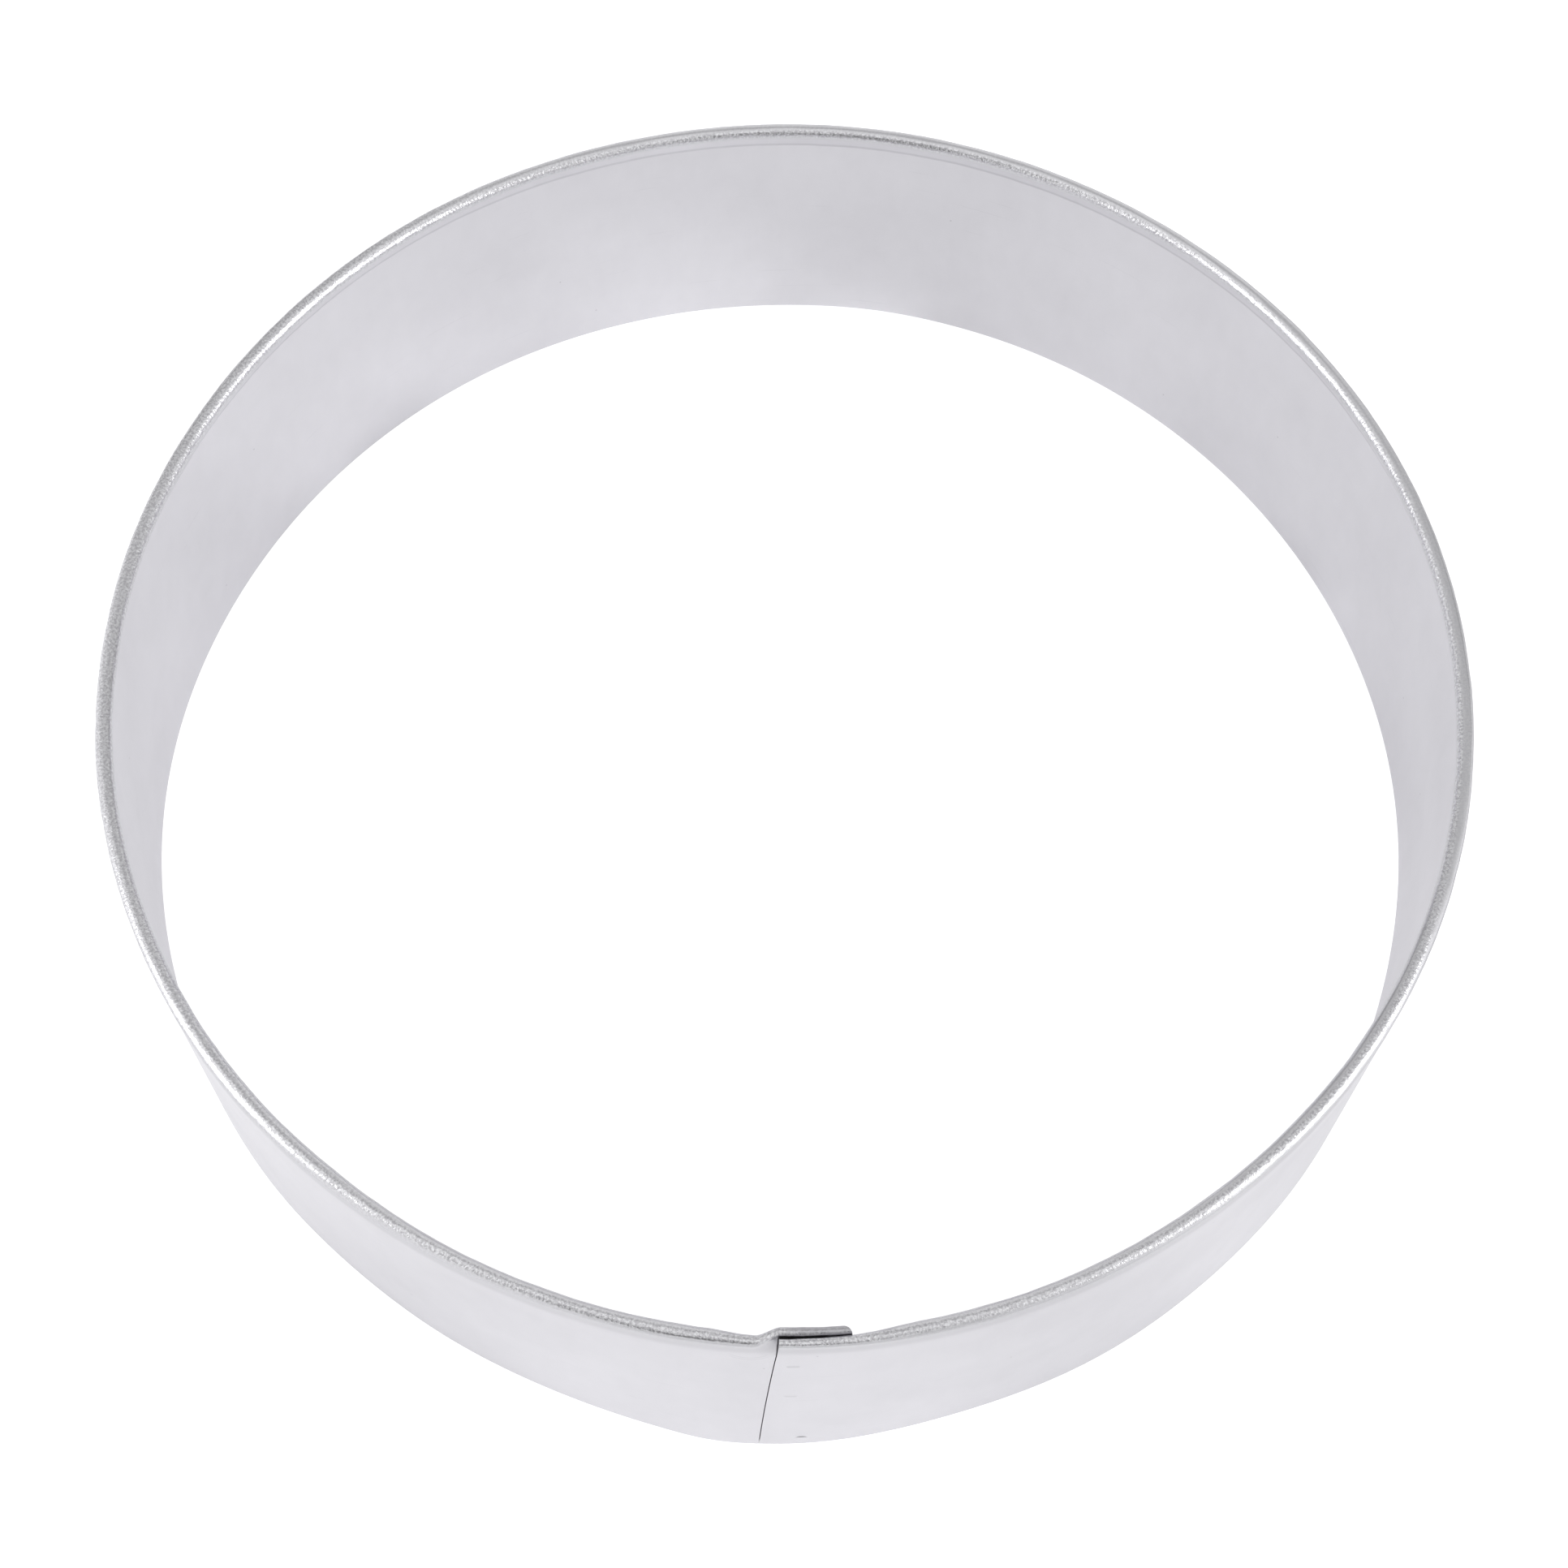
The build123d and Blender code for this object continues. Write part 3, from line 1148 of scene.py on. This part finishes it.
class CUTTER_OT_strip(bpy.types.Operator):
    """Makes the tinplate strip with its hem and lap, in place of the solid's band"""

    bl_idname = "cutter.strip"
    bl_label = "Tinplate strip"

    def execute(self, context):
        sizes, look = context.scene.cutter_strip, context.scene.cutter_finish
        points, faces, cut, uv = strip_mesh(sizes, context.scene.cutter_stage.seed)
        finishes = [tinplate_material(look), sheared_material(look)]
        strip = add_piece("rolled_strip", points, faces, finishes, cut, uv)
        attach(strip, "root")
        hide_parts("tinplate_band")
        return {"FINISHED"}


class CUTTER_OT_welds(bpy.types.Operator):
    """Makes the three spot welds of the lap, in place of the solid's nuggets"""

    bl_idname = "cutter.welds"
    bl_label = "Spot welds"

    def execute(self, context):
        sizes, look = context.scene.cutter_strip, context.scene.cutter_finish
        finish = weld_material(look)

        # Each weld's ridge: its height as a share of the size, how dark its painted shade is, and
        # how far it lies over the weld's middle as a share of the radius
        marks = (("upper", 0.12, 0.3, 0.33), ("middle", 0.1, 0.2, 0.2), ("lower", 0.5, 1.0, 0.9))
        for name, ridge_share, ridge_shade_share, rise_share in marks:
            solid = f"spot_weld_{name}"
            ridge = ridge_share * sizes.weld_ridge
            points, faces, ridge_shade = weld_mesh(solid, sizes, ridge, rise_share)
            ridge_shade = ridge_shade_share * ridge_shade
            weld = add_piece(f"weld_button_{name}", points, faces, [finish], ridge_shade=ridge_shade)
            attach(weld, "root")
            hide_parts(solid)
        return {"FINISHED"}


class CUTTER_OT_stage(bpy.types.Operator):
    """Sets up the sweep, the soft light and the camera"""

    bl_idname = "cutter.stage"
    bl_label = "Stage"

    def execute(self, context):
        stage, look = context.scene.cutter_stage, context.scene.cutter_finish
        reach = 3000 * MM
        corners = np.array([[-1, -1, 0], [1, -1, 0], [1, 1, 0], [-1, 1, 0]]) * reach
        floor = add_piece("sweep", corners, np.array([[0, 1, 2, 3]]), [floor_material(look)])
        room_light(context.scene)

        # Each lamp's turn from +X and its rise above the floor, in degrees
        for name, turn, rise in (("lamp_left", -164, 12), ("lamp_right", -20, 17)):
            side_lamp(stage, name, np.radians(turn), np.radians(rise))
        add_camera(stage)
        return {"FINISHED"}


def direction(turn, rise):
    """The unit vector at an angle about Z from +X and an angle above the floor."""
    flat = np.cos(rise)
    return Vector((flat * np.cos(turn), flat * np.sin(turn), np.sin(rise)))


def side_lamp(stage, name, turn, rise):
    """A tall soft lamp that faces the ring's centre."""
    light = bpy.data.lights.new(name, "AREA")
    light.shape = "RECTANGLE"
    light.size = stage.lamp_width
    light.size_y = stage.lamp_height
    light.energy = stage.lamp_power
    lamp = bpy.data.objects.new(name, light)
    towards = direction(turn, rise)
    lamp.location = towards * stage.lamp_distance
    lamp.rotation_euler = towards.to_track_quat("Z", "Y").to_euler()
    bpy.context.scene.collection.objects.link(lamp)


def room_light(scene):
    """A pale room, dimmer in front where the camera stands and behind the cutter.

    Each patch, dim or bright, is a smooth step of the cosine between a direction and the
    patch's middle. It is given in degrees as its middle's turn and rise and the angles from it
    where the patch is full and where it ends, with what it adds to the room's level."""
    patches = (
        (-118, 52, 2, 15, -0.9),
        (-100, 24, 5, 20, -0.85),
        (-78, 38, 5, 20, -0.4),
        (-168, 56, 4, 22, 0.3),
        (-92, 8, 5, 28, -0.25),
        (-62, 6, 5, 20, -0.25),
        (38, 2, 5, 25, -0.2),
        (122, 4, 4, 20, -0.3),
        (80, 12, 48, 78, -0.44),
        (80, 5, 20, 45, 0.36),
    )
    room_level = 1.16
    world = bpy.data.worlds.new("pale_room")
    scene.world = world
    world.use_nodes = True
    tree = world.node_tree
    tree.nodes.clear()
    sky = node(tree, "ShaderNodeTexCoord")
    caps = []
    for *angles, add in patches:
        turn, rise, full, ends = np.radians(angles)
        caps.append((direction(turn, rise), float(np.cos(ends)), float(np.cos(full)), add))
    patched = with_patches(tree, room_level, "DOT_PRODUCT", sky.outputs["Generated"], caps)
    glow = node(tree, "ShaderNodeBackground", links={"Strength": patched})
    output = tree.nodes.new("ShaderNodeOutputWorld")
    tree.links.new(glow.outputs[0], output.inputs[0])


def add_camera(stage):
    """A camera that looks at the ring's centre from the front, with a small tilt and roll."""
    data = bpy.data.cameras.new("camera")
    data.sensor_width = 36
    data.lens = stage.lens
    data.clip_start = 10 * MM
    camera = bpy.data.objects.new("camera", data)
    back = direction(FRONT, stage.rise)
    right = Vector((1, 0, 0))
    up = back.cross(right)
    aim = Matrix((right, up, back)).transposed()
    tilt = Matrix.Rotation(-stage.tilt, 3, "X")
    roll = Matrix.Rotation(-stage.roll, 3, "Z")
    camera.matrix_world = Matrix.Translation(back * stage.distance) @ (aim @ tilt @ roll).to_4x4()
    bpy.context.scene.collection.objects.link(camera)
    bpy.context.scene.camera = camera


class CUTTER_PT_panel(bpy.types.Panel):
    """Lists what makes the cutter"""

    bl_idname = "CUTTER_PT_panel"
    bl_label = "Biscuit cutter"
    bl_space_type = "VIEW_3D"
    bl_region_type = "UI"
    bl_category = "Cutter"

    def draw(self, context):
        for made in OPERATORS:
            self.layout.operator(made.bl_idname)


OPERATORS = (CUTTER_OT_strip, CUTTER_OT_welds, CUTTER_OT_stage)
GROUPS = {
    "cutter_strip": StripSizes,
    "cutter_finish": FinishColours,
    "cutter_stage": StageSizes,
}


def register():
    for name, group in GROUPS.items():
        bpy.utils.register_class(group)
        setattr(bpy.types.Scene, name, PointerProperty(type=group))
    for made in (*OPERATORS, CUTTER_PT_panel):
        bpy.utils.register_class(made)


def unregister():
    for made in reversed((*OPERATORS, CUTTER_PT_panel)):
        bpy.utils.unregister_class(made)
    for name, group in GROUPS.items():
        delattr(bpy.types.Scene, name)
        bpy.utils.unregister_class(group)


def main():
    """Registers the add-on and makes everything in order."""
    register()
    bpy.ops.cutter.strip()
    bpy.ops.cutter.welds()
    bpy.ops.cutter.stage()
    bpy.context.scene.view_settings.view_transform = "Standard"


if __name__ == "__main__":
    main()
